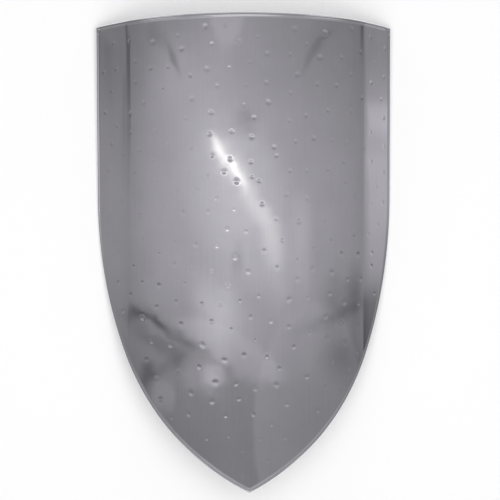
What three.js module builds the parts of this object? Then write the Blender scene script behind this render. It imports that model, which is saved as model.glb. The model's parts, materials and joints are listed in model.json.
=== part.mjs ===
// A heater shield made from one sheet of steel: cut to a flat-iron outline, bent round an upright
// axis with its two flanks left flat, and its edge rolled back on itself all the way round.
// Millimetres, +Z up. It lies loose, hollow side down, on the rolled edges of its two long sides,
// with its top edge towards +Y and its tip towards -Y. The origin is the middle of its footprint.

import * as THREE from 'three';

// The blank, as it is cut from the flat sheet
const HEIGHT = 740; // from the crest of the top edge down to the tip
const CREST_RISE = 14; // how far the arched top edge stands above its corners
const STRAIGHT_SIDE = 272.4; // from a top corner down to where the side starts to curve in
const SHEET = 1.2; // thickness of the sheet

// The bend, with widths measured along the sheet
const BEND_RADIUS = 273.2; // of the front face across the middle
const MIDDLE_HALF = 206; // from the centre line to the crease beside each flank
const FLANK_WIDTH = 69.8; // flat strip from the crease to the edge
const CREASE_ANGLE = THREE.MathUtils.degToRad( 2.9 ); // extra fold along the crease

// The rolled edge
const BEAD_RADIUS = 3.1; // outside of the roll
const BEAD_PROUD = 1.3; // how far the roll stands above the front face
const FILLET_RADIUS = 1.5; // where the front face turns up into the roll
const CURL_GAP = 0.6; // from the end of the roll to the back face
const FLAT_MARGIN = 2; // plain sheet left between the roll and the flat facets

// How finely the curves are faceted
const RIDGE_FACET = 24; // width of the flat facet along the centre line
const FACETS_PER_SIDE = 14; // from the ridge facet to the crease
const FLANK_STEPS = 13; // along the curved edge of a flank
const FILLET_STEPS = 3;
const ROLL_STEPS = 12; // round the outside of the roll
const BORE_STEPS = 8; // round its hollow inside

const HALF_BLANK = MIDDLE_HALF + FLANK_WIDTH;
const SIDE_START = - CREST_RISE - STRAIGHT_SIDE;
const TAPER = HEIGHT + SIDE_START;

// The side is an arc that leaves its straight stretch smoothly and meets the tip.
const SIDE_RADIUS = ( TAPER ** 2 + HALF_BLANK ** 2 ) / ( 2 * HALF_BLANK );
const CREST_RADIUS = ( CREST_RISE ** 2 + HALF_BLANK ** 2 ) / ( 2 * CREST_RISE );

// The fillet's centre is level with its own radius above the front face, and touches the roll.
const FILLET_REACH = BEAD_RADIUS + FILLET_RADIUS;
const FILLET_RUN = Math.sqrt( FILLET_REACH ** 2 - ( FILLET_REACH - BEAD_PROUD ) ** 2 );
const FLAT_INSET = BEAD_RADIUS + FILLET_RUN + FLAT_MARGIN;

// A list of evenly spaced numbers, both ends included.
function spread( from, to, steps ) {

	return Array.from( { length: steps + 1 }, ( _, i ) => from + ( to - from ) * i / steps );

}

// Distances of the fold lines from the centre line. Between two of them the sheet is a flat facet.
const FOLDS = spread( RIDGE_FACET / 2, MIDDLE_HALF, FACETS_PER_SIDE );

// Angle along the side's arc at which the inset edge crosses a distance from the centre line
function sideAngle( across, inset ) {

	return Math.acos( 1 - ( HALF_BLANK - inset - across ) / ( SIDE_RADIUS - inset ) );

}

const FOLD_SIDE_ANGLES = FOLDS.map( ( fold ) => sideAngle( fold, FLAT_INSET ) );
const FLANK_ANGLES = spread( FOLD_SIDE_ANGLES.at( - 1 ), 0, FLANK_STEPS ).slice( 1 );
const CREST_PLACES = [ ( MIDDLE_HALF + HALF_BLANK ) / 2, ...FOLDS.toReversed() ];

// The right half of the outline, moved inwards by a distance, from beside the tip up the side,
// round the corner and along the top edge to the ridge facet. Points are ( across, up from the crest ).
function rightEdge( inset ) {

	const half = HALF_BLANK - inset;
	const side = SIDE_RADIUS - inset;
	const crest = CREST_RADIUS - inset;
	const taper = [ ...FOLD_SIDE_ANGLES, ...FLANK_ANGLES ].map( ( angle ) =>
		new THREE.Vector2( half - side * ( 1 - Math.cos( angle ) ), SIDE_START - side * Math.sin( angle ) ) );
	const places = [ half, ...CREST_PLACES.map( ( place ) => place * crest / ( CREST_RADIUS - FLAT_INSET ) ) ];
	const top = places.map( ( across ) =>
		new THREE.Vector2( across, Math.sqrt( crest ** 2 - across ** 2 ) - CREST_RADIUS ) );
	return [ ...taper, ...top ];

}

// The whole outline, moved inwards by a distance, anticlockwise from the tip as seen from the front
function edgeRing( inset ) {

	const tip = new THREE.Vector2( 0, SIDE_START - ( SIDE_RADIUS - inset ) * Math.sin( sideAngle( 0, inset ) ) );
	const right = rightEdge( inset );
	const left = right.map( ( point ) => new THREE.Vector2( - point.x, point.y ) ).reverse();
	return [ tip, ...right, ...left ];

}

// Points round a circle of the roll's section, as ( inset, height above the front face )
function sectionArc( inset, height, radius, from, to, steps ) {

	return spread( from, to, steps ).map( ( angle ) =>
		new THREE.Vector2( inset - radius * Math.cos( angle ), height + radius * Math.sin( angle ) ) );

}

// The section of the sheet at its edge: out along the front, round the roll to its end, and back
// along the inside of the roll to the back of the sheet.
function edgeSection() {

	const rollHeight = BEAD_PROUD - BEAD_RADIUS;
	const touch = Math.PI - Math.acos( FILLET_RUN / FILLET_REACH );
	const endRise = - SHEET - CURL_GAP - rollHeight;
	const end = - Math.PI - Math.asin( endRise / BEAD_RADIUS );
	const outside = sectionArc( BEAD_RADIUS, rollHeight, BEAD_RADIUS, touch, end, ROLL_STEPS );
	const inside = sectionArc( BEAD_RADIUS, rollHeight, BEAD_RADIUS - SHEET, end, touch, BORE_STEPS );
	const fillet = ( radius ) =>
		sectionArc( BEAD_RADIUS + FILLET_RUN, FILLET_RADIUS, radius, - Math.PI / 2, touch - Math.PI, FILLET_STEPS );
	return [
		new THREE.Vector2( FLAT_INSET, 0 ),
		...fillet( FILLET_RADIUS ).slice( 0, - 1 ),
		...outside,
		...inside,
		...fillet( FILLET_RADIUS + SHEET ).reverse().slice( 1 ),
		new THREE.Vector2( FLAT_INSET, - SHEET ),
	];

}

// Where the front face lies at a distance from the centre line, and how far it leans there.
function bentSection( across ) {

	const onArc = ( run ) => new THREE.Vector2(
		BEND_RADIUS * Math.sin( run / BEND_RADIUS ),
		BEND_RADIUS * Math.cos( run / BEND_RADIUS ) - BEND_RADIUS );
	if ( across >= MIDDLE_HALF ) {

		const creased = across > MIDDLE_HALF ? CREASE_ANGLE : CREASE_ANGLE / 2;
		const flankLean = MIDDLE_HALF / BEND_RADIUS + CREASE_ANGLE;
		const down = new THREE.Vector2( Math.cos( flankLean ), - Math.sin( flankLean ) );
		const place = onArc( MIDDLE_HALF ).addScaledVector( down, across - MIDDLE_HALF );
		return { place, lean: MIDDLE_HALF / BEND_RADIUS + creased };

	}

	const outer = FOLDS.findIndex( ( fold ) => fold > across );
	const inner = outer > 0 ? FOLDS[ outer - 1 ] : - FOLDS[ 0 ];
	const share = ( across - inner ) / ( FOLDS[ outer ] - inner );
	return { place: onArc( inner ).lerp( onArc( FOLDS[ outer ] ), share ), lean: across / BEND_RADIUS };

}

// Takes a point of the blank, at a height above its front face, to its place in the bent shield.
function bend( point, height ) {

	const side = point.x < 0 ? - 1 : 1;
	const { place, lean } = bentSection( Math.abs( point.x ) );
	return new THREE.Vector3(
		side * ( place.x + height * Math.sin( lean ) ),
		point.y,
		place.y + height * Math.cos( lean ) );

}

// The two triangles of a four-sided facet
function quad( a, b, c, d ) {

	return [ a, b, c, a, c, d ];

}

// Triangles that fill a ring with the facets of the bent face, facing the front
function faceTriangles( ringLength ) {

	const half = ( ringLength - 1 ) / 2;
	const last = FACETS_PER_SIDE;
	const right = ( i ) => 1 + i;
	const left = ( i ) => ringLength - 1 - i;
	const ridge = quad( right( 0 ), right( half - 1 ), left( half - 1 ), left( 0 ) );
	const found = [ 0, right( 0 ), left( 0 ), ...ridge ];
	for ( let i = 0; i < last; i ++ ) {

		found.push( ...quad( right( i ), right( i + 1 ), right( half - 2 - i ), right( half - 1 - i ) ) );
		found.push( ...quad( left( i + 1 ), left( i ), left( half - 1 - i ), left( half - 2 - i ) ) );

	}

	const hub = half - 1 - last;
	for ( let i = last; i < hub - 1; i ++ ) {

		found.push( right( hub ), right( i ), right( i + 1 ) );
		found.push( left( hub ), left( i + 1 ), left( i ) );

	}

	return found;

}

// The closed skin of the sheet: its front, its rolled edge and its back
function plateGeometry() {

	const rings = edgeSection().map( ( { x: inset, y: height } ) =>
		edgeRing( inset ).map( ( point ) => bend( point, height ) ) );
	const count = rings[ 0 ].length;
	const index = faceTriangles( count );
	for ( let row = 0; row < rings.length - 1; row ++ ) {

		for ( let i = 0; i < count; i ++ ) {

			const next = ( i + 1 ) % count;
			const base = row * count;
			index.push( ...quad( base + i, base + count + i, base + count + next, base + next ) );

		}

	}

	const backStart = ( rings.length - 1 ) * count;
	index.push( ...faceTriangles( count ).map( ( i ) => backStart + i ).reverse() );
	return new THREE.BufferGeometry().setFromPoints( rings.flat() ).setIndex( index );

}

// The centre of mass of a closed skin, from the tetrahedra between its triangles and the origin
function centreOfMass( geometry ) {

	const position = geometry.getAttribute( 'position' );
	const index = geometry.getIndex();
	const corners = [ new THREE.Vector3(), new THREE.Vector3(), new THREE.Vector3() ];
	const moment = new THREE.Vector3();
	let volume = 0;
	for ( let i = 0; i < index.count; i += 3 ) {

		corners.forEach( ( corner, k ) => corner.fromBufferAttribute( position, index.getX( i + k ) ) );
		const [ a, b, c ] = corners;
		const part = a.dot( new THREE.Vector3().crossVectors( b, c ) ) / 6;
		volume += part;
		moment.addScaledVector( a, part / 4 ).addScaledVector( b, part / 4 ).addScaledVector( c, part / 4 );

	}

	return moment.divideScalar( volume );

}

// Whether the way from a to b to c bends to the left
function turnsLeft( a, b, c ) {

	return b.clone().sub( a ).cross( c.clone().sub( a ) ) > 0;

}

// The shield rocks on the curved part of its sides until its weight is over the stretch of edge
// that it lies on. This gives the slope of that stretch, seen from the side.
function restingSlope( geometry ) {

	const position = geometry.getAttribute( 'position' );
	const profile = Array.from( { length: position.count }, ( _, i ) =>
		new THREE.Vector2( position.getY( i ), position.getZ( i ) ) );
	profile.sort( ( a, b ) => a.x - b.x || a.y - b.y );
	const under = [];
	for ( const point of profile ) {

		while ( under.length > 1 && ! turnsLeft( under.at( - 2 ), under.at( - 1 ), point ) ) under.pop();
		under.push( point );

	}

	const centre = centreOfMass( geometry );
	const weight = new THREE.Vector2( centre.y, centre.z );
	for ( let i = 1; i < under.length; i ++ ) {

		const along = under[ i ].clone().sub( under[ i - 1 ] );
		const reach = along.dot( weight.clone().sub( under[ i - 1 ] ) ) / along.lengthSq();
		if ( reach >= 0 && reach <= 1 ) return Math.atan2( along.y, along.x );

	}

	throw new Error( 'the shield finds no side edge to lie on' );

}

const polishedSteel = new THREE.MeshStandardMaterial( { color: 0xa0a0a5, roughness: 0.28, metalness: 1 } );

const plate = new THREE.Mesh( plateGeometry(), polishedSteel );
plate.name = 'shield_plate';
plate.rotation.x = - restingSlope( plate.geometry );

const footprint = new THREE.Box3().setFromObject( plate, true );
const middle = footprint.getCenter( new THREE.Vector3() );
plate.position.set( - middle.x, - middle.y, - footprint.min.z );

const shield = new THREE.Group();
shield.name = 'heater_shield';
shield.add( plate );

export default shield;
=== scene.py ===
"""A heater shield of hand-polished sheet steel, lying on a pale floor with its hollow side down.

The sheet is modelled flat, as a blank in its own two directions, across and up. Its dents and the
waves of hand work are raised and sunk in the blank, and then the blank is bent to the shield's curve.
Lengths are in metres, written as millimetres times MM.
"""

import json
import math
import random

import bmesh
import bpy
from mathutils import Matrix, Vector, kdtree, noise


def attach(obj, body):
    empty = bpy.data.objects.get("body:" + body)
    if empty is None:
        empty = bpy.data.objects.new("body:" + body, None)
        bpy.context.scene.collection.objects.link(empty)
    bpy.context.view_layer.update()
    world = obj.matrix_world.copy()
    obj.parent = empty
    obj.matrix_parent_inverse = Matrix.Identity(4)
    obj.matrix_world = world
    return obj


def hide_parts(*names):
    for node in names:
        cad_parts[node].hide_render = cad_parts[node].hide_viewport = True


MM = 0.001

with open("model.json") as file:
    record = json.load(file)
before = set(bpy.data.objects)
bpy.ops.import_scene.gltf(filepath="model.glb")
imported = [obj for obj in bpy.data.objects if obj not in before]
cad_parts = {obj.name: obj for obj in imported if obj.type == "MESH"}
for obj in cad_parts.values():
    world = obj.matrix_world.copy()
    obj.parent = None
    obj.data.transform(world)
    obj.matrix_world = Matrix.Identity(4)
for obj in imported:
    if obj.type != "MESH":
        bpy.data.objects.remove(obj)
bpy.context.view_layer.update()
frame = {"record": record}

# The blank, as in the CAD part
HEIGHT = 740 * MM
CREST_RISE = 14 * MM
STRAIGHT_SIDE = 272.4 * MM
SHEET = 1.2 * MM
BEND_RADIUS = 273.2 * MM
MIDDLE_HALF = 206 * MM
FLANK_WIDTH = 69.8 * MM
CREASE_ANGLE = math.radians(2.9)
CREASE_BAND = 8 * MM  # the roller rounds the crease over this width
HALF_BLANK = MIDDLE_HALF + FLANK_WIDTH
SIDE_START = -CREST_RISE - STRAIGHT_SIDE
TAPER = HEIGHT + SIDE_START
SIDE_RADIUS = (TAPER**2 + HALF_BLANK**2) / (2 * HALF_BLANK)
CREST_RADIUS = (CREST_RISE**2 + HALF_BLANK**2) / (2 * CREST_RISE)

# The rolled edge, as in the CAD part
BEAD_RADIUS = 3.1 * MM
BEAD_PROUD = 1.3 * MM
FILLET_RADIUS = 1.5 * MM
CURL_GAP = 0.6 * MM
FLAT_MARGIN = 2 * MM
FILLET_REACH = BEAD_RADIUS + FILLET_RADIUS
FILLET_RUN = math.sqrt(FILLET_REACH**2 - (FILLET_REACH - BEAD_PROUD) ** 2)
FLAT_INSET = BEAD_RADIUS + FILLET_RUN + FLAT_MARGIN

# Where the CAD part's mount on the ridge lies on the sheet, and how wide its flat facet is
RIDGE_MOUNT_DOWN = 250 * MM
RIDGE_FACET = 24 * MM

# How finely the sheet is meshed
GRID_CELL = 7 * MM
SIDE_CHORD = 5 * MM
CREST_CHORD = 10 * MM
LEAST_EDGE = 2.5 * MM
FILLET_STEPS = 4
ROLL_STEPS = 16
BORE_STEPS = 7
SECTION_STEP = 0.5 * MM
WELD = 1e-6
SHARP_ANGLE = math.radians(50)
# The grid is halved twice round each dent, out to these distances from its rim, and the front's grid once
# more inside it
DENT_REACHES = (5.4 * MM, 2.6 * MM)
DENT_FINE_REACH = -0.5 * MM
# Each crease's own cuts, in mm from its line, and how far out the cut strip goes
CREASE_CUTS = (-17, -13, -11, -9, -7.5, -5, -2.5, -1, 1, 2.5, 5, 9, 13, 17)
CREASE_ZONE = 28 * MM

# The photograph's camera, in the shield's own directions, from its outline. Its turns are in radians
PHOTO_SIDE = 500
CAMERA_DISTANCE = 2500 * MM
PIXELS_PER_METRE = 651.8
CAMERA_YAW = 0.0584
CAMERA_PITCH = 0.0620
CAMERA_ROLL = 0.0023
CAMERA_SHIFT_ACROSS = -1.53 * MM
CAMERA_SHIFT_UP = -7.25 * MM
SENSOR_MM = 36
SEEN_TRIES = 12

# The finish
POLISH_LINE = 2.2 * MM  # a wheel's lines are finer, and are drawn as coarse as they need to show
POLISH_STROKE = 110 * MM
LINE_DETAIL = 3
LINE_DEPTH = 0.002 * MM
LINE_TINT = 0.35  # how much of the tint follows the lines, the rest follows the smudges
SMUDGE = 60 * MM
SMUDGE_DETAIL = 5
SMUDGE_FAINT = 0.3
SMUDGE_FULL = 0.7
ROUGH_CLEAN = 0.03
ROUGH_SMUDGED = 0.05
STEEL_DULL = "#C0BFC4"
STEEL_BRIGHT = "#D6D5DA"
BOARD_PAINT = "#F4F4F4"
BOARD_ROUGHNESS = 0.9

# The studio: lengths in metres, the light over the floor in watts
FLOOR_HALF = 20
FLOOR_LIGHT = 58
FLOOR_LIGHT_SIDE = 2.4
FLOOR_LIGHT_HEIGHT = 2.8
# The studio is never darker than this, and the lit floor under it glows between these heights of a direction
DARKEST = 0.04
FLOOR_GLOW = 0.75
FLOOR_GLOW_FROM = -0.2
FLOOR_GLOW_FULL = -0.6
# Its dim parts are slightly blue and its bright ones slightly warm, with a blend between two brightnesses
STUDIO_TINT = (0.985, 0.975, 1.0, 1)
LAMP_TINT = (1.0, 0.995, 0.96, 1)
LAMP_FROM = 0.75
LAMP_FULL = 1.3
# How bright it is at each turn round the shield's long axis, in degrees to the right of straight up
STUDIO_ROUND = (
    (-180, 0.55),
    (-130, 0.55),
    (-104, 0.50),
    (-97, 0.44),
    (-93, 0.43),
    (-90, 0.40),
    (-86, 0.40),
    (-66, 0.54),
    (-44, 0.60),
    (-22, 0.66),
    (0, 0.66),
    (20, 0.64),
    (38, 0.57),
    (60, 0.52),
    (80, 0.46),
    (88, 0.43),
    (91, 0.42),
    (94, 0.42),
    (97, 0.44),
    (99, 0.53),
    (101, 0.58),
    (104, 0.58),
    (130, 0.55),
    (180, 0.55),
)
# How that changes at each rise, in degrees from square to the long axis towards the shield's top edge
STUDIO_ALONG = (
    (-90, 1.0),
    (-45, 1.0),
    (-20, 0.60),
    (-12, 0.48),
    (-10, 0.50),
    (-8.5, 0.54),
    (-7, 0.70),
    (-5.5, 0.86),
    (-4, 0.95),
    (-2, 1.0),
    (0, 0.95),
    (2, 0.80),
    (4, 0.68),
    (10, 0.56),
    (20, 0.50),
    (32, 0.80),
    (45, 1.50),
    (60, 1.60),
    (75, 0.90),
    (90, 0.50),
)
# Soft lights and, where the last value is below 0, dark cards. Each is an oval in those two angles: the turn
# and rise of its middle, its half width and half height, its lean in turn for each degree of rise, the share
# of it that is even before it fades, and how much brighter it makes the studio there
CARDS = (
    # The lamp that draws the bright streak, in six parts, and its halo
    (-17.3, -0.02, 4.6, 0.7, -9, 0.0, 1.0),
    (-11.6, -0.45, 4.2, 0.34, -18, 0.0, 0.7),
    (-6.7, -0.7, 4.2, 0.46, -18, 0.0, 1.25),
    (-1.5, -1.1, 4.2, 0.5, -12, 0.0, 0.75),
    (10, -2.1, 12, 1.1, -10.9, 0.0, 0.32),
    (19, -3.3, 12, 1.4, -3, 0.0, 0.14),
    (-9, -0.6, 15, 1.5, -12, 0.0, 0.34),
    # The broad glow round it
    (-8, -1.2, 48, 5.5, -5, 0.0, 0.20),
    (22, -3.6, 15, 2.6, -2, 0.0, 0.12),
    (40, -3.4, 13, 2.7, 0, 0.0, 0.12),
    (-22, 3.6, 48, 2.6, 0, 0.0, 0.08),
    (-18, -6.0, 22, 2.0, 0, 0.0, 0.20),
    (-10, -7.05, 26, 1.25, -29, 0.65, 0.13),
    (-31, -5.2, 13, 1.6, 0, 0.0, 0.07),
    (-8, -5.9, 26, 1.9, -14, 0.1, 0.09),
    # Dim cards beside the lamp
    (1, 0.9, 13, 0.7, 0, 0.0, -0.16),
    (-4.5, -3.8, 7, 0.9, 0, 0.0, -0.16),
    # Dark cards low on the left
    (-46, -6.65, 5.2, 1.2, -29, 0.35, -0.25),
    (-27, -7.35, 4.4, 0.85, -29, 0.3, -0.12),
    (-67, -5.95, 5.5, 0.5, -29, 0.2, -0.15),
    (-80, -5.73, 17, 0.30, 0, 0.3, -0.23),
    (-58, -6.9, 16, 1.2, -28.75, 0.3, -0.11),
    (-60, -7.7, 9, 0.7, 42, 0.2, -0.12),
    (-70, -7.75, 10, 0.5, 0, 0.1, -0.12),
    # Soft lights under them
    (-21, -7.95, 13, 0.66, 0, 0.1, 0.32),
    (-34, -7.8, 16, 0.8, 0, 0.1, 0.10),
    (-58, -8.6, 12, 0.7, 0, 0.6, 0.09),
    # Dark cards low on the right
    (62, -6.0, 22, 0.8, 50, 0.0, -0.12),
    (66, -5.4, 18, 1.8, 0, 0.0, -0.09),
    (72, -7.2, 30, 1.3, 0, 0.0, -0.12),
    (100, -6.5, 8, 2.4, 0, 0.3, -0.22),
    (84, -5.2, 15, 1.7, 0, 0.0, -0.14),
    # A broad dim light past the tip
    (50, -9.8, 46, 4.6, 0, 0.92, 0.07),
    # Dark cards past the top edge, and a soft light
    (-48.5, 3.1, 3.5, 0.9, -7.5, 0.0, -0.24),
    (-60, 3.9, 12, 0.6, -10, 0.0, -0.08),
    (-89.5, 3.0, 4.6, 5.0, 0, 0.0, -0.12),
    (56, 3.85, 6, 0.5, 20, 0.2, -0.12),
    (46, 3.2, 4.5, 0.8, 9, 0.1, -0.10),
    (-11, 6.6, 17, 3.1, 0, 0.9, 0.10),
    # A dark card and a faint light past the top corners
    (91.5, 4.6, 3.5, 2.0, 0, 0.0, -0.14),
    (-52, 2.4, 28, 2.4, 0, 0.0, 0.09),
    # Broad lights further round and one dark card, for the other sides
    (0, -50, 40, 14, 0, 0.5, 0.9),
    (-62, -32, 22, 9, 0, 0.5, 0.7),
    (62, -32, 22, 9, 0, 0.5, 0.7),
    (-70, 38, 26, 12, 0, 0.5, 0.8),
    (70, 38, 26, 12, 0, 0.5, 0.8),
    (0, 32, 18, 8, 0, 0.3, -0.25),
    # Soft lights low on the right, with a narrow gap
    (101, -0.5, 6, 4, 0, 0.0, 0.16),
    (100.5, 1.1, 5, 0.9, 0, 0.2, 0.14),
    (99, 0.0, 4, 0.5, 0, 0.0, -0.06),
)

# The left crease is bent a little too far near the top: how deep, from where outwards, and at which heights
CREASE_SINK = 0.31 * MM
CREASE_START = 197 * MM
CREASE_SPREAD = 14 * MM
CREASE_FULL = -100 * MM
CREASE_END = -290 * MM
CREASE_RETURN = 45 * MM
# Both creases are rounded wider lower down, unevenly: from which height, over what length and how much wider
CREASE_CRISP = -50 * MM
CREASE_SOFTENS = 120 * MM
CREASE_SOFT = 13 * MM
CREASE_UNEVEN = 0.8
CREASE_UNEVEN_ACROSS = 400 * MM
CREASE_UNEVEN_UP = 60 * MM
CREASE_NOISE_SLICE = 5.1

# The waves of hand work: each kind's size across and up, its height and its slice of the noise
WAVES = (
    (110 * MM, 150 * MM, 0.12 * MM, 3.7),
    (45 * MM, 60 * MM, 0.02 * MM, 9.1),
)
WAVE_EDGE = 30 * MM  # they fade out over this distance to the rolled edge

# The clear dents, listed one by one: across and down in the photograph's pixels, and the width and depth
# that each seems to have, in mm
CLEAR_DENTS = (
    (209.5, 134, 7, 0.40),
    (231.6, 131.5, 6.5, 0.40),
    (251.7, 137, 7.5, 0.45),
    (212, 155.6, 6.5, 0.40),
    (230, 159, 7, 0.38),
    (251, 162, 6.5, 0.35),
    (274, 147, 6.5, 0.40),
    (276.4, 155.6, 6.5, 0.35),
    (224, 171.7, 8, 0.42),
    (236.5, 181.4, 9, 0.45),
    (252, 177, 6, 0.35),
    (259, 181, 7, 0.40),
    (262, 204, 6.5, 0.35),
    (217, 198.7, 6, 0.30),
    (202.6, 345, 9, 0.20),
    (224.4, 360.3, 9, 0.18),
    (215.3, 382.5, 9, 0.20),
    (236, 384, 7, 0.18),
    (199, 367, 8, 0.30),
    (325, 32.6, 11, 0.55),
    (320, 57.5, 8, 0.40),
    (341.7, 57.5, 7, 0.35),
    (191, 393, 8.5, 0.30),
    (212, 401.7, 7.5, 0.20),
    (239, 399, 7.5, 0.20),
    (276.5, 385, 7.5, 0.30),
    (279.4, 368.5, 7.5, 0.30),
    (267, 357, 7, 0.35),
    (294, 347, 7, 0.35),
    (307, 377, 7, 0.35),
    (287, 404.6, 7, 0.35),
    (372, 253, 7, 0.28),
    (371.5, 266, 7, 0.28),
    (211, 112.5, 8, 0.45),
    (254, 117.5, 7, 0.45),
    (205, 26.5, 9, 0.45),
    (212, 44, 7, 0.40),
)
# Ordinary dents, listed in the same way
MORE_DENTS = (
    (186, 118), (289.6, 120.7), (306, 115.4), (191, 147), (295.5, 141.3), (313.7, 138), (189, 173.5),
    (207.6, 176), (289.7, 170.7), (307, 170.6), (197.3, 190.5), (286.7, 194.6), (307, 198.2), (208, 211.8),
    (234, 209.5), (183.2, 213), (276.3, 219), (298.8, 221.5), (177.7, 35.4), (152.5, 42.2), (113.5, 43.6),
    (181.6, 48.8), (238.8, 40.8), (257.9, 36.5), (135, 61.4), (229.2, 67.7), (206.8, 68.9), (249.9, 61.8),
    (116.2, 69.5), (167.8, 66.9), (190.2, 75.2), (217, 85.9), (246.5, 85), (162.7, 87.5), (135.3, 81.7),
    (246, 231.5), (264, 251), (235, 257.5), (217, 246),
    (111.6, 91.3), (191.9, 98.5), (243.9, 105.3), (143.5, 102.5),
)
# Mirrored light makes a dent look deeper than it is, so the clear ones have this share of the depth above
DENT_TRUE_DEPTH = 0.36
# The rest are scattered at this spacing and distance from the edge
DENT_SEED = 41
DENT_TRIES = 6000
DENT_GAP = 29 * MM
DENT_EDGE_SPACE = 14 * MM
# Widths in mm, depths as a share of the width, and a short radius as a share of the long one
DENT_WIDTHS = (5, 5.5, 6.5, 7, 7.5, 8, 9)
DENT_DEPTHS = (0.007, 0.015)
DENT_ROUNDNESS = (0.78, 1)
# A dent's soft rim reaches this far, in its own radii
DENT_SKIRT = 1.3


# The shield's place in the CAD part

def shield_place():
    """The shield's own directions in the CAD part: across, up and out of the front, from its crest."""
    mounts = {mount["name"]: mount for mount in frame["record"]["mounts"]}
    ridge = mounts["ridge_front"]
    out = Vector(ridge["axis"]).normalized()
    across = Vector((1, 0, 0))
    up = out.cross(across)
    sink = BEND_RADIUS - math.sqrt(BEND_RADIUS**2 - (RIDGE_FACET / 2) ** 2)
    crest = Vector(ridge["pos_m"]) + up * RIDGE_MOUNT_DOWN + out * sink
    place = Matrix((across, up, out)).transposed().to_4x4()
    place.translation = crest
    return place


PLACE = shield_place()


# The camera

def camera_axes():
    """The camera's right, up and back directions in the shield's own directions, as a matrix's rows."""
    yaw = Matrix.Rotation(CAMERA_YAW, 3, "Y")
    pitch = Matrix.Rotation(CAMERA_PITCH, 3, "X")
    roll = Matrix.Rotation(CAMERA_ROLL, 3, "Z")
    return roll @ pitch @ yaw


def seen_at(point):
    """The photograph's pixel, across and down, where a point in the shield's own directions is seen."""
    turned = camera_axes() @ (point - Vector((0, -HEIGHT / 2, 0)))
    scale = PIXELS_PER_METRE * CAMERA_DISTANCE / (CAMERA_DISTANCE - turned.z)
    half = PHOTO_SIDE / 2
    across = half + scale * (turned.x + CAMERA_SHIFT_ACROSS)
    down = half - scale * (turned.y + CAMERA_SHIFT_UP)
    return Vector((across, down))


def make_camera():
    """The photograph's camera, without shift or depth of field."""
    data = bpy.data.cameras.new("camera")
    data.sensor_width = SENSOR_MM
    data.lens = SENSOR_MM * PIXELS_PER_METRE * CAMERA_DISTANCE / PHOTO_SIDE
    axes = camera_axes()
    away = Vector((-CAMERA_SHIFT_ACROSS, -CAMERA_SHIFT_UP, CAMERA_DISTANCE))
    stand = axes.transposed().to_4x4()
    stand.translation = Vector((0, -HEIGHT / 2, 0)) + axes.transposed() @ away
    camera = bpy.data.objects.new("camera", data)
    camera.matrix_world = PLACE @ stand
    bpy.context.scene.collection.objects.link(camera)
    bpy.context.scene.camera = camera


# The bend

def ease(t):
    """0 below 0, 1 above 1, and a smooth rise between."""
    t = min(max(t, 0.0), 1.0)
    return t * t * (3 - 2 * t)


def lean_at(across):
    """How far the front face leans outwards at a distance from the centre line."""
    crease = ease((across - MIDDLE_HALF) / CREASE_BAND + 0.5)
    return min(across, MIDDLE_HALF) / BEND_RADIUS + CREASE_ANGLE * crease


def bent_section():
    """Places along the bent section, one each SECTION_STEP from the centre line: across, height and lean."""
    x, z = 0.0, 0.0
    section = []
    for i in range(int(HALF_BLANK / SECTION_STEP) + 3):
        section.append((x, z, lean_at(i * SECTION_STEP)))
        lean = lean_at((i + 0.5) * SECTION_STEP)
        x += math.cos(lean) * SECTION_STEP
        z -= math.sin(lean) * SECTION_STEP
    return section


SECTION = bent_section()


def bend(across, up, height):
    """A point of the blank, at a height above its front face, in its place in the bent shield."""
    side = -1 if across < 0 else 1
    run = abs(across) / SECTION_STEP
    i = int(run)
    share = run - i
    x, z, lean = (a + (b - a) * share for a, b in zip(SECTION[i], SECTION[i + 1]))
    return Vector((side * (x + height * math.sin(lean)), up, z + height * math.cos(lean)))


def blank_at(pixel):
    """The place on the blank, across and up, that is seen at a pixel of the photograph."""
    half = PHOTO_SIDE / 2
    place = Vector((pixel[0] - half, half - pixel[1])) / PIXELS_PER_METRE - Vector((0, HEIGHT / 2))
    for _ in range(SEEN_TRIES):
        miss = Vector(pixel) - seen_at(bend(place.x, place.y, 0))
        place += Vector((miss.x, -miss.y)) / PIXELS_PER_METRE
    return place


# The relief of the hand-worked front

def inside_by(across, up):
    """How far a place on the blank is inside the outline, roughly."""
    side = HALF_BLANK - abs(across)
    if up < SIDE_START:
        centre = Vector((HALF_BLANK - SIDE_RADIUS, SIDE_START))
        side = SIDE_RADIUS - (Vector((abs(across), up)) - centre).length
    crest = CREST_RADIUS - Vector((across, up + CREST_RADIUS)).length
    return min(side, crest)


def choose_dents():
    """Every dent as (place, long radius, short radius, turn, depth)."""
    scatter = random.Random(DENT_SEED)

    def shaped(place, width, depth):
        long = width / 2 * MM
        short = long * scatter.uniform(*DENT_ROUNDNESS)
        turn = scatter.uniform(0, math.pi)
        return place, long, short, turn, depth * MM

    dents = [shaped(blank_at((x, y)), width, depth * DENT_TRUE_DEPTH) for x, y, width, depth in CLEAR_DENTS]
    places = [blank_at(pixel) for pixel in MORE_DENTS]
    taken = [dent[0] for dent in dents] + places
    for _ in range(DENT_TRIES):
        place = Vector((scatter.uniform(-1, 1) * HALF_BLANK, -scatter.random() * HEIGHT))
        if inside_by(*place) > DENT_EDGE_SPACE and all((place - other).length > DENT_GAP for other in taken):
            places.append(place)
            taken.append(place)
    for place in places:
        width = scatter.choice(DENT_WIDTHS)
        dents.append(shaped(place, width, width * scatter.uniform(*DENT_DEPTHS)))
    return dents


DENTS = choose_dents()
WIDEST_DENT = max(dent[1] for dent in DENTS)
DENT_TREE = kdtree.KDTree(len(DENTS))
for number, dent in enumerate(DENTS):
    DENT_TREE.insert(dent[0].to_3d(), number)
DENT_TREE.balance()


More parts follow.
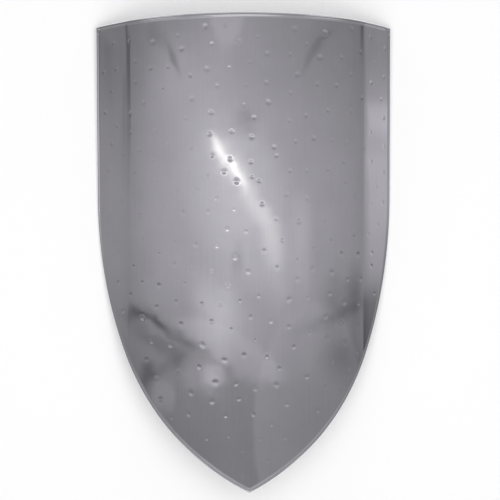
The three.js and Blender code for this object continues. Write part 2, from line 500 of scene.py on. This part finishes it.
def dent_depth(across, up):
    """How far the dents sink the sheet at a place on the blank."""
    sunk = 0.0
    for _, number, _ in DENT_TREE.find_range((across, up, 0), WIDEST_DENT * DENT_SKIRT):
        place, long, short, turn, depth = DENTS[number]
        x, y = across - place.x, up - place.y
        along = (x * math.cos(turn) + y * math.sin(turn)) / long
        over = (y * math.cos(turn) - x * math.sin(turn)) / short
        reach = (along * along + over * over) / DENT_SKIRT**2
        if reach < 1:
            sunk += depth * (1 - reach) ** 2
    return sunk


def waves(across, up):
    """The slight waves that hand work leaves in the sheet, as a height."""
    height = 0.0
    for wide, high, tall, cut in WAVES:
        height += tall * noise.noise(Vector((across / wide, up / high, cut)))
    return height * ease(inside_by(across, up) / WAVE_EDGE)


def crease_sink(across, up):
    """How far the left crease, bent a little too far near the top, sinks the flank beside it."""
    strength = ease((up - CREASE_END) / (CREASE_FULL - CREASE_END))
    strength *= ease(inside_by(across, up) / CREASE_RETURN)
    out = min(max(-across - CREASE_START, 0), CREASE_SPREAD) / CREASE_SPREAD
    return CREASE_SINK * strength * (1 - (1 - out) ** 2)


def rounding(away, half_width):
    """How far a crease rounded over a width sinks under a sharp one, at a distance from its line."""
    return CREASE_ANGLE * max(half_width - away, 0) ** 2 / (4 * half_width)


def crease_softening(across, up):
    """How far the creases' wider rounding lower down sinks the sheet beside them."""
    away = abs(abs(across) - MIDDLE_HALF)
    place = Vector((across / CREASE_UNEVEN_ACROSS, up / CREASE_UNEVEN_UP, CREASE_NOISE_SLICE))
    uneven = 1 + CREASE_UNEVEN * noise.noise(place)
    soft = CREASE_SOFT * uneven * ease((CREASE_CRISP - up) / CREASE_SOFTENS)
    wider = rounding(away, CREASE_BAND / 2 + soft) - rounding(away, CREASE_BAND / 2)
    return wider * ease(inside_by(across, up) / CREASE_RETURN)


def relief(across, up):
    """How far the hand-worked front stands above the plain sheet."""
    creases = crease_sink(across, up) + crease_softening(across, up)
    return waves(across, up) - dent_depth(across, up) - creases


# The plate

def edge_section():
    """The sheet's section at its edge, from the front round the roll to the back: insets and heights."""
    roll_height = BEAD_PROUD - BEAD_RADIUS
    touch = math.pi - math.acos(FILLET_RUN / FILLET_REACH)
    end = -math.pi - math.asin((-SHEET - CURL_GAP - roll_height) / BEAD_RADIUS)

    def arc(inset, height, radius, start, stop, steps):
        angles = [start + (stop - start) * i / steps for i in range(steps + 1)]
        return [(inset - radius * math.cos(a), height + radius * math.sin(a)) for a in angles]

    def fillet(radius):
        inset = BEAD_RADIUS + FILLET_RUN
        return arc(inset, FILLET_RADIUS, radius, -math.pi / 2, touch - math.pi, FILLET_STEPS)

    outside = arc(BEAD_RADIUS, roll_height, BEAD_RADIUS, touch, end, ROLL_STEPS)
    inside = arc(BEAD_RADIUS, roll_height, BEAD_RADIUS - SHEET, end, touch, BORE_STEPS)
    back = fillet(FILLET_RADIUS + SHEET)[::-1]
    return [(FLAT_INSET, 0), *fillet(FILLET_RADIUS)[:-1], *outside, *inside, *back[1:], (FLAT_INSET, -SHEET)]


def outline_cuts(inset):
    """Straight cuts that trim the blank to its outline, moved inwards: a point on each and its way out."""
    cuts = [(Vector((HALF_BLANK - inset, 0, 0)), Vector((1, 0, 0)))]
    side_turn = math.acos(1 - HALF_BLANK / SIDE_RADIUS)
    steps = int(SIDE_RADIUS * side_turn / SIDE_CHORD)
    for i in range(steps):
        turn = side_turn * (i + 1) / steps
        out = Vector((math.cos(turn), -math.sin(turn), 0))
        centre = Vector((HALF_BLANK - SIDE_RADIUS, SIDE_START, 0))
        cuts.append((centre + out * (SIDE_RADIUS - inset), out))
    cuts += [(Vector((-p.x, p.y, 0)), Vector((-d.x, d.y, 0))) for p, d in cuts]
    top_turn = math.asin(HALF_BLANK / CREST_RADIUS)
    steps = int(CREST_RADIUS * top_turn / CREST_CHORD)
    for i in range(-steps, steps + 1):
        turn = top_turn * i / steps
        out = Vector((math.sin(turn), math.cos(turn), 0))
        cuts.append((Vector((0, -CREST_RADIUS, 0)) + out * (CREST_RADIUS - inset), out))
    return cuts


def near_dent(centre, reach):
    """Whether a place is on a dent or within reach of its rim."""
    for _, number, gap in DENT_TREE.find_range(centre, WIDEST_DENT * DENT_SKIRT + reach):
        if gap < DENTS[number][1] * DENT_SKIRT + reach:
            return True
    return False


def refine(bm, faces, reach):
    """Halves the faces that are on a dent or within reach of its rim, and leaves the border as it is."""
    near = [f for f in faces if near_dent(f.calc_center_median(), reach)]
    edges = list({e for f in near for e in f.edges if not e.is_boundary})
    bmesh.ops.subdivide_edges(bm, edges=edges, cuts=1, use_grid_fill=True)


def flat_sides():
    """The flat front and back inside the rolled edge: grids trimmed to the outline, and fine round dents."""
    bm = bmesh.new()
    wide = round(2 * HALF_BLANK / GRID_CELL)
    high = round(HEIGHT / GRID_CELL)
    size = Matrix.Diagonal((HALF_BLANK, HEIGHT / 2, 1, 1))
    middle = Matrix.Translation((0, -HEIGHT / 2, 0))
    bmesh.ops.create_grid(bm, x_segments=wide, y_segments=high, size=1, matrix=middle @ size)
    for point, out in outline_cuts(FLAT_INSET):
        sheet = bm.verts[:] + bm.edges[:] + bm.faces[:]
        bmesh.ops.bisect_plane(bm, geom=sheet, dist=WELD, plane_co=point, plane_no=out, clear_outer=True)
    border = [v for v in bm.verts if v.is_boundary]
    bmesh.ops.remove_doubles(bm, verts=border, dist=LEAST_EDGE)
    for reach in DENT_REACHES:
        refine(bm, bm.faces, reach)
    made = bmesh.ops.duplicate(bm, geom=bm.verts[:] + bm.edges[:] + bm.faces[:])["geom"]
    bmesh.ops.translate(bm, verts=[v for v in made if isinstance(v, bmesh.types.BMVert)], vec=(0, 0, -SHEET))
    refine(bm, [f for f in bm.faces if f.calc_center_median().z > -SHEET / 2], DENT_FINE_REACH)
    for side in (-1, 1):
        for away in CREASE_CUTS:
            faces = [f for f in bm.faces if abs(side * f.calc_center_median().x - MIDDLE_HALF) < CREASE_ZONE]
            edges = {e for f in faces for e in f.edges}
            verts = {v for f in faces for v in f.verts}
            line = Vector((side * (MIDDLE_HALF + away * MM), 0, 0))
            strip = [*verts, *edges, *faces]
            bmesh.ops.bisect_plane(bm, geom=strip, dist=WELD, plane_co=line, plane_no=(1, 0, 0))
    return bm


def border_outward(border):
    """For each vertex of a flat face's border: where it is, and how it moves as the outline grows by one."""
    outward = {}
    for vert in {v for e in border for v in e.verts}:
        away = []
        for edge in (e for e in vert.link_edges if e.is_boundary):
            along = edge.verts[1].co - edge.verts[0].co
            normal = Vector((along.y, -along.x, 0)).normalized()
            inner = edge.link_faces[0].calc_center_median() - edge.verts[0].co
            away.append(-normal if normal.dot(inner) > 0 else normal)
        outward[vert] = (vert.co.copy(), (away[0] + away[1]) / (1 + away[0].dot(away[1])))
    return outward


def roll_edge(bm, border):
    """Extrudes the border row by row round the roll, to the sheet's back. Gives the last row's vertices."""
    outward = border_outward(border)
    for inset, height in edge_section()[1:]:
        made = bmesh.ops.extrude_edge_only(bm, edges=border)["geom"]
        border = [e for e in made if isinstance(e, bmesh.types.BMEdge) and e.is_boundary]
        moved = {}
        for vert in (v for v in made if isinstance(v, bmesh.types.BMVert)):
            source = next(e.other_vert(vert) for e in vert.link_edges if e.other_vert(vert) in outward)
            start, away = outward[source]
            vert.co = start + away * (FLAT_INSET - inset) + Vector((0, 0, height))
            moved[vert] = (start, away)
        outward = moved
    return list(outward)


def finished_piece(name, bm, material):
    """A modelled mesh as an object of the scene, in its material, at the origin."""
    mesh = bpy.data.meshes.new(name)
    bm.to_mesh(mesh)
    bm.free()
    mesh.materials.append(material)
    piece = bpy.data.objects.new(name, mesh)
    bpy.context.scene.collection.objects.link(piece)
    return piece


def make_plate(material):
    """The whole sheet, closed: its front, its rolled edge and its back, bent to the shield's curve."""
    bm = flat_sides()
    borders = [e for e in bm.edges if e.is_boundary]
    front = [e for e in borders if e.verts[0].co.z > -SHEET / 2]
    back = list({v for e in borders if e not in front for v in e.verts})
    seam = roll_edge(bm, front)
    bmesh.ops.remove_doubles(bm, verts=seam + back, dist=WELD)
    bmesh.ops.recalc_face_normals(bm, faces=bm.faces)
    bm.normal_update()
    for edge in bm.edges:
        edge.smooth = edge.calc_face_angle(0) < SHARP_ANGLE
    for face in bm.faces:
        face.smooth = True
    flat = bm.loops.layers.uv.new("flat")
    for face in bm.faces:
        for loop in face.loops:
            loop[flat].uv = loop.vert.co.xy
    for vert in bm.verts:
        across, up, height = vert.co
        vert.co = bend(across, up, height + relief(across, up))
    bmesh.ops.transform(bm, matrix=PLACE, verts=bm.verts)
    return finished_piece("shield_plate_polished", bm, material)


# Materials

def linear(hex_colour):
    """An sRGB hex colour as the linear colour that a shader takes."""
    parts = (int(hex_colour[i:i + 2], 16) / 255 for i in (1, 3, 5))
    return (*(c / 12.92 if c <= 0.04045 else ((c + 0.055) / 1.055) ** 2.4 for c in parts), 1)


def add(tree, kind, inputs=(), **settings):
    """Adds a node: settings are its properties, inputs its sockets' values or the sockets they link from."""
    made = tree.nodes.new(kind)
    for name, value in settings.items():
        setattr(made, name, value)
    for name, value in dict(inputs).items():
        if isinstance(value, bpy.types.NodeSocket):
            tree.links.new(value, made.inputs[name])
        else:
            made.inputs[name].default_value = value
    return made


def polished_steel():
    """Mild steel sheet, polished by hand on a wheel: a soft mirror with fine upright lines and smudges."""
    material = bpy.data.materials.new("hand_polished_steel")
    material.use_nodes = True
    tree = material.node_tree
    tree.nodes.clear()
    uv = add(tree, "ShaderNodeUVMap", uv_map="flat").outputs[0]
    lines = add(tree, "ShaderNodeMapping", {"Vector": uv, "Scale": (1 / POLISH_LINE, 1 / POLISH_STROKE, 1)})
    line_noise = add(tree, "ShaderNodeTexNoise", {
        "Vector": lines.outputs[0], "Scale": 1, "Detail": LINE_DETAIL})
    smudges = add(tree, "ShaderNodeMapping", {"Vector": uv, "Scale": (1 / SMUDGE, 1 / SMUDGE, 1)})
    smudge_noise = add(tree, "ShaderNodeTexNoise", {
        "Vector": smudges.outputs[0], "Scale": 1, "Detail": SMUDGE_DETAIL})
    smudged = add(tree, "ShaderNodeMapRange", {
        "Value": smudge_noise.outputs[0], "From Min": SMUDGE_FAINT, "From Max": SMUDGE_FULL,
        "To Min": ROUGH_CLEAN, "To Max": ROUGH_SMUDGED}, interpolation_type="SMOOTHSTEP")
    mottle = add(tree, "ShaderNodeMix", {
        "Factor": LINE_TINT, "A": smudge_noise.outputs[0], "B": line_noise.outputs[0]})
    tint = add(tree, "ShaderNodeMix", {
        "Factor": mottle.outputs["Result"], "A": linear(STEEL_DULL), "B": linear(STEEL_BRIGHT)},
        data_type="RGBA")
    bump = add(tree, "ShaderNodeBump", {
        "Height": line_noise.outputs[0], "Strength": 1, "Distance": LINE_DEPTH})
    shader = add(tree, "ShaderNodeBsdfPrincipled", {
        "Base Color": tint.outputs["Result"], "Metallic": 1,
        "Roughness": smudged.outputs[0], "Normal": bump.outputs[0]})
    add(tree, "ShaderNodeOutputMaterial", {"Surface": shader.outputs[0]})
    return material


def pale_paint():
    """A matt painted board, pale and plain."""
    material = bpy.data.materials.new("pale_matt_board")
    material.use_nodes = True
    shader = material.node_tree.nodes["Principled BSDF"]
    shader.inputs["Base Color"].default_value = linear(BOARD_PAINT)
    shader.inputs["Roughness"].default_value = BOARD_ROUGHNESS
    return material


# The studio: soft grey light, written as brightness by direction round the shield's long axis and along it

def make_studio():
    """The studio's light, as a background that the steel mirrors."""
    world = bpy.data.worlds.new("studio")
    bpy.context.scene.world = world
    world.use_nodes = True
    tree = world.node_tree
    tree.nodes.clear()

    def maths(operation, *values):
        return add(tree, "ShaderNodeMath", dict(enumerate(values)), operation=operation).outputs[0]

    direction = add(tree, "ShaderNodeTexCoord").outputs["Generated"]
    tip_down = PLACE.to_euler().x
    own = add(tree, "ShaderNodeVectorRotate", {
        "Vector": direction, "Angle": -tip_down}, rotation_type="X_AXIS")
    parts = add(tree, "ShaderNodeSeparateXYZ", {0: own.outputs[0]})
    x, y, z = parts.outputs
    turn = maths("MULTIPLY", maths("ARCTAN2", x, z), math.degrees(1))
    rise = maths("MULTIPLY", maths("ARCSINE", y), math.degrees(1))

    def ramp(value, span, stops):
        """Brightness by angle, smooth between the stops. Span is the whole range, with 0 in its middle."""
        made = add(tree, "ShaderNodeValToRGB", {0: maths("MULTIPLY_ADD", value, 1 / span, 0.5)})
        made.color_ramp.interpolation = "B_SPLINE"
        elements = made.color_ramp.elements
        while len(elements) < len(stops):
            elements.new(0.5)
        for element, (degrees, level) in zip(elements, stops):
            element.position = degrees / span + 0.5
            element.color = (level, level, level, 1)
        return made.outputs[0]

    total = maths("MULTIPLY", ramp(turn, 360, STUDIO_ROUND), ramp(rise, 180, STUDIO_ALONG))
    for middle_turn, middle_rise, half_turn, half_rise, lean, even, level in CARDS:
        high = maths("SUBTRACT", rise, middle_rise)
        over = maths("MULTIPLY_ADD", high, -lean, maths("SUBTRACT", turn, middle_turn))
        high_share = maths("POWER", maths("MULTIPLY", high, 1 / half_rise), 2)
        over_share = maths("POWER", maths("MULTIPLY", over, 1 / half_turn), 2)
        away = maths("SQRT", maths("ADD", high_share, over_share))
        oval = add(tree, "ShaderNodeMapRange", {
            "Value": away, "From Min": even, "From Max": 1, "To Min": 1, "To Max": 0},
            interpolation_type="SMOOTHSTEP").outputs[0]
        total = maths("MULTIPLY_ADD", oval, level, total)
    lit_floor = add(tree, "ShaderNodeMapRange", {
        "Value": z, "From Min": FLOOR_GLOW_FROM, "From Max": FLOOR_GLOW_FULL,
        "To Min": 0, "To Max": FLOOR_GLOW}).outputs[0]
    total = maths("ADD", maths("MAXIMUM", total, DARKEST), lit_floor)
    lamp_share = add(tree, "ShaderNodeMapRange", {
        "Value": total, "From Min": LAMP_FROM, "From Max": LAMP_FULL})
    tint = add(tree, "ShaderNodeMix", {
        "Factor": lamp_share.outputs[0], "A": STUDIO_TINT, "B": LAMP_TINT}, data_type="RGBA")
    background = add(tree, "ShaderNodeBackground", {"Color": tint.outputs["Result"], "Strength": total})
    add(tree, "ShaderNodeOutputWorld", {"Surface": background.outputs[0]})


def make_floor():
    """A plain board, wider than any view. The steel mirrors the studio alone, and not the board."""
    bm = bmesh.new()
    bmesh.ops.create_grid(bm, x_segments=1, y_segments=1, size=FLOOR_HALF)
    floor = finished_piece("floor", bm, pale_paint())
    floor.visible_glossy = False


def make_floor_light():
    """A broad soft light overhead for the floor, which the steel doesn't mirror."""
    data = bpy.data.lights.new("overhead", "AREA")
    data.shape = "RECTANGLE"
    data.size = FLOOR_LIGHT_SIDE
    data.size_y = FLOOR_LIGHT_SIDE
    data.energy = FLOOR_LIGHT
    lamp = bpy.data.objects.new("overhead", data)
    lamp.location = (0, 0, FLOOR_LIGHT_HEIGHT)
    lamp.visible_glossy = False
    bpy.context.scene.collection.objects.link(lamp)


# The scene

make_camera()
make_studio()
make_floor()
make_floor_light()
bpy.context.scene.view_settings.view_transform = "Standard"

plate = make_plate(polished_steel())
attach(plate, "root")
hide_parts("shield_plate")
